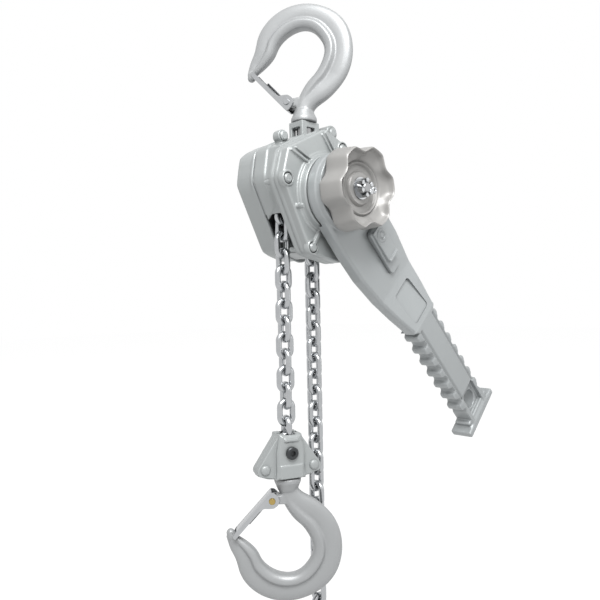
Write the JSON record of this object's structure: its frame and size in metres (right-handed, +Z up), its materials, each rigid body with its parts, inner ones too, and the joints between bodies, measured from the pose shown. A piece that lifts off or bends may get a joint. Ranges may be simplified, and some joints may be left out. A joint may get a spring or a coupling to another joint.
{
  "type": "chain lever hoist",
  "caption": "Chain lever hoist: two swivelling latched hooks, load chain over a pocketed sheave, ratchet lever with change-over lever, free-wheel handwheel.",
  "frame": {"origin": "seat of the top hook, the middle of its bowl's upper inner surface, where the hoist hangs", "axes": "+Z up along the hanging line, -Y towards the lever and handwheel, +X to the right seen from the front"},
  "size_m": [0.3956, 0.1837, 0.8159],
  "materials": {
    "paint": "cool silver-grey paint, satin",
    "lever_paint": "silver-grey paint on pressed steel, satin",
    "wheel_paint": "slightly warmer grey, satin",
    "hook_paint": "silver-grey paint on a forging, semi-gloss",
    "zinc": "bright zinc plating",
    "steel": "machined steel",
    "cast_steel": "cast and machined steel",
    "friction": "brown friction lining",
    "black_steel": "black oxide",
    "brass": "brass and yellow zinc"
  },
  "bodies": {
    "hanger": {"top_hook": "hook_paint", "top_hook_nut": "steel", "top_latch_pin": "zinc", "top_latch_spring": "black_steel"},
    "top_gate": {"top_latch": "zinc"},
    "yoke": {"top_yoke": "paint"},
    "hoist": {"main_frame": "paint", "gear_plate": "steel", "gear_cover": "paint", "brake_cover": "paint", "cover_screws": "paint", "gear_cover_nuts": "zinc", "lug_bolts": "paint", "yoke_pin": "paint", "front_bearing": "steel", "rear_bearing": "steel", "rear_bush": "brass", "gear_shafts": "steel", "pawl_pins": "steel", "pawl_springs": "black_steel", "chain_stripper": "steel", "sheave_chain": "zinc"},
    "sheave": {"load_sheave": "cast_steel", "load_gear": "steel", "gear_clip": "black_steel"},
    "upper_gear": {"disc_gear_upper": "steel"},
    "lower_gear": {"disc_gear_lower": "steel"},
    "drive": {"pinion_shaft": "steel", "disc_hub": "steel", "friction_disc_rear": "friction", "friction_disc_front": "friction", "change_gear": "steel", "handwheel": "wheel_paint", "wheel_washer": "zinc", "castle_nut": "zinc", "cotter_pin": "zinc"},
    "ratchet": {"ratchet_disc": "steel"},
    "left_pawl": {"pawl_left": "steel"},
    "right_pawl": {"pawl_right": "steel"},
    "lever": {"lever_body": "lever_paint", "lever_cover": "paint", "lever_screws": "zinc"},
    "change_lever": {"selector": "lever_paint", "selector_pawl": "steel"},
    "load_strand": {"load_chain": "zinc"},
    "block": {"bottom_block_front": "paint", "bottom_block_back": "paint", "block_rivets": "paint", "chain_pin": "black_steel", "chain_pin_nut": "black_steel"},
    "lower_hook": {"bottom_hook": "hook_paint", "bottom_hook_nut": "steel", "bottom_latch_pin": "brass", "bottom_latch_spring": "black_steel"},
    "bottom_gate": {"bottom_latch": "zinc"},
    "tail_strand": {"tail_chain": "zinc", "chain_end_ring": "zinc"}
  },
  "joints": [
    {"name": "hoist_swivel", "type": "hinge", "parent": "hanger", "child": "yoke", "pos_m": [0, 0, -0.12], "axis": [0, 0, 1], "continuous": true},
    {"name": "yoke_tilt", "type": "hinge", "parent": "yoke", "child": "hoist", "pos_m": [0, 0, -0.146], "axis": [0, 1, 0], "range_deg": [-12, 12]},
    {"name": "top_latch_open", "type": "hinge", "parent": "hanger", "child": "top_gate", "pos_m": [-0.00851, 0.01699, -0.09], "axis": [0.8942, 0.4478, 0], "range_deg": [0, 40], "stiffness_Nm_per_rad": 0.08, "springref_deg": -34.38},
    {"name": "lever_swing", "type": "hinge", "parent": "hoist", "child": "lever", "pos_m": [-0.016, 0, -0.2135], "axis": [0, -1, 0], "range_deg": [-178, 90]},
    {"name": "selector_turn", "type": "hinge", "parent": "lever", "child": "change_lever", "pos_m": [0.0438, 0, -0.26698], "axis": [0, -1, 0], "range_deg": [-20, 20]},
    {"name": "hook_lift", "type": "slide", "parent": "hoist", "child": "load_strand", "axis": [0, 0, 1], "range_m": [-0.0202, 0.0404], "deforming": ["load_chain"]},
    {"name": "tail_run", "type": "slide", "parent": "hoist", "child": "tail_strand", "axis": [0, 0, 1], "range_m": [-0.0405, 0.0205], "deforming": ["tail_chain"]},
    {"name": "sheave_turn", "type": "hinge", "parent": "hoist", "child": "sheave", "pos_m": [-0.016, 0, -0.2135], "axis": [0, 1, 0], "continuous": true, "deforming": ["sheave_chain"]},
    {"name": "upper_gear_turn", "type": "hinge", "parent": "hoist", "child": "upper_gear", "pos_m": [-0.03099, 0, -0.18343], "axis": [0, 1, 0], "continuous": true},
    {"name": "lower_gear_turn", "type": "hinge", "parent": "hoist", "child": "lower_gear", "pos_m": [-0.00101, 0, -0.24357], "axis": [0, 1, 0], "continuous": true},
    {"name": "drive_turn", "type": "hinge", "parent": "hoist", "child": "drive", "pos_m": [-0.016, 0, -0.2135], "axis": [0, 1, 0], "continuous": true},
    {"name": "ratchet_turn", "type": "hinge", "parent": "hoist", "child": "ratchet", "pos_m": [-0.016, 0, -0.2135], "axis": [0, 1, 0], "continuous": true},
    {"name": "left_pawl_lift", "type": "hinge", "parent": "hoist", "child": "left_pawl", "pos_m": [-0.04984, 0, -0.23976], "axis": [0, -1, 0], "range_deg": [0, 14], "stiffness_Nm_per_rad": 0.05, "springref_deg": -20.05},
    {"name": "right_pawl_lift", "type": "hinge", "parent": "hoist", "child": "right_pawl", "pos_m": [0.01784, 0, -0.18724], "axis": [0, -1, 0], "range_deg": [0, 14], "stiffness_Nm_per_rad": 0.05, "springref_deg": -20.05},
    {"name": "block_tilt", "type": "hinge", "parent": "load_strand", "child": "block", "pos_m": [-0.0409, 0, -0.51777], "axis": [-0.3746, -0.9272, 0], "range_deg": [-5, 5]},
    {"name": "hook_swivel", "type": "hinge", "parent": "block", "child": "lower_hook", "pos_m": [-0.0409, 0, -0.5495], "axis": [0, 0, 1], "continuous": true},
    {"name": "bottom_latch_open", "type": "hinge", "parent": "lower_hook", "child": "bottom_gate", "pos_m": [-0.05502, 0.01271, -0.5755], "axis": [-0.6691, -0.7431, 0], "range_deg": [0, 40], "stiffness_Nm_per_rad": 0.08, "springref_deg": -34.38}
  ],
  "couplings": [
    {"joint": "tail_run", "follows": "hook_lift", "ratio": -1},
    {"joint": "sheave_turn", "follows": "hook_lift", "rad_per_m": 38.881},
    {"joint": "upper_gear_turn", "follows": "hook_lift", "rad_per_m": -116.64},
    {"joint": "lower_gear_turn", "follows": "hook_lift", "rad_per_m": -116.64},
    {"joint": "drive_turn", "follows": "hook_lift", "rad_per_m": 349.93}
  ]
}
